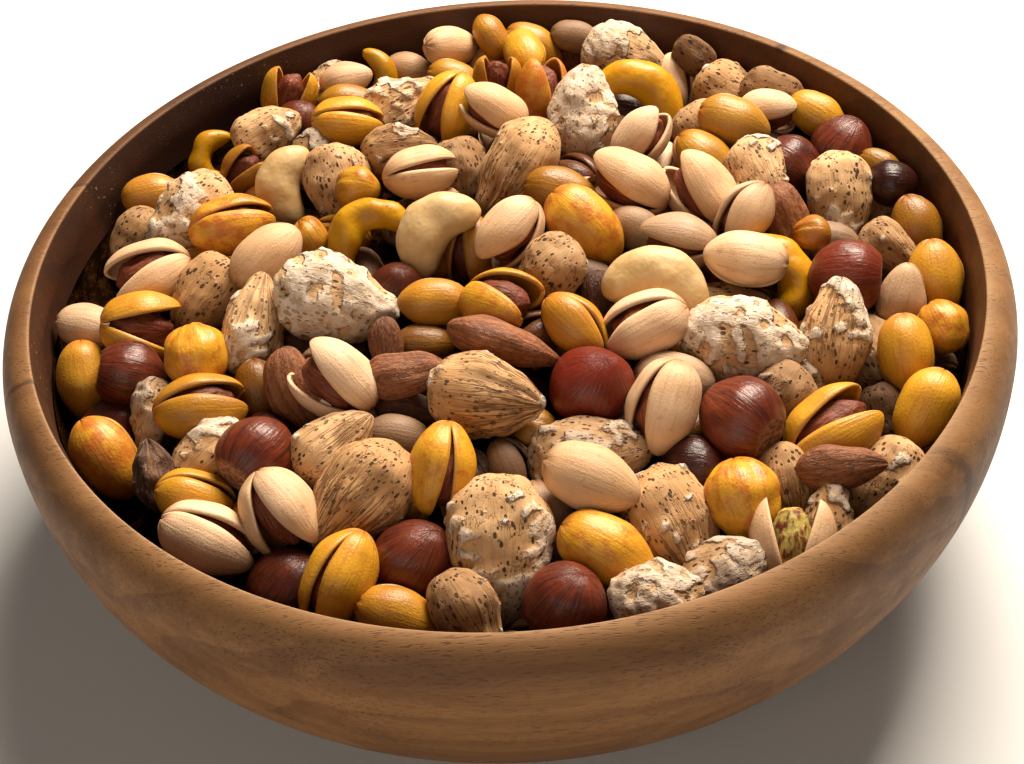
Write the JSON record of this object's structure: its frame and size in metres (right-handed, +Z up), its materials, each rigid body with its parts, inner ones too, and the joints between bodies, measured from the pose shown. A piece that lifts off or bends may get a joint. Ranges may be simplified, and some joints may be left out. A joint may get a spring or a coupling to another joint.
{
  "type": "bowl of mixed nuts",
  "caption": "Turned wooden bowl heaped with salted mixed nuts, most of them still in their shells: pistachios, almonds and hazelnuts, with some cashews and shelled almonds.",
  "frame": {"origin": "middle of the flat base that the bowl rests on", "axes": "+Z up out of the bowl, +Y away from the side that the picture was taken from, +X to the right of it"},
  "size_m": [0.22, 0.22, 0.0783],
  "materials": {
    "oiled_wood": "turned and oiled brown wood, satin, with dark pores and a lighter rim",
    "nutshell": "dry nut shells: tan, saffron yellow and dark red-brown, some with white salt crust"
  },
  "bodies": {
    "root": {"bowl": "oiled_wood", "nut_heap": "nutshell"}
  },
  "joints": []
}
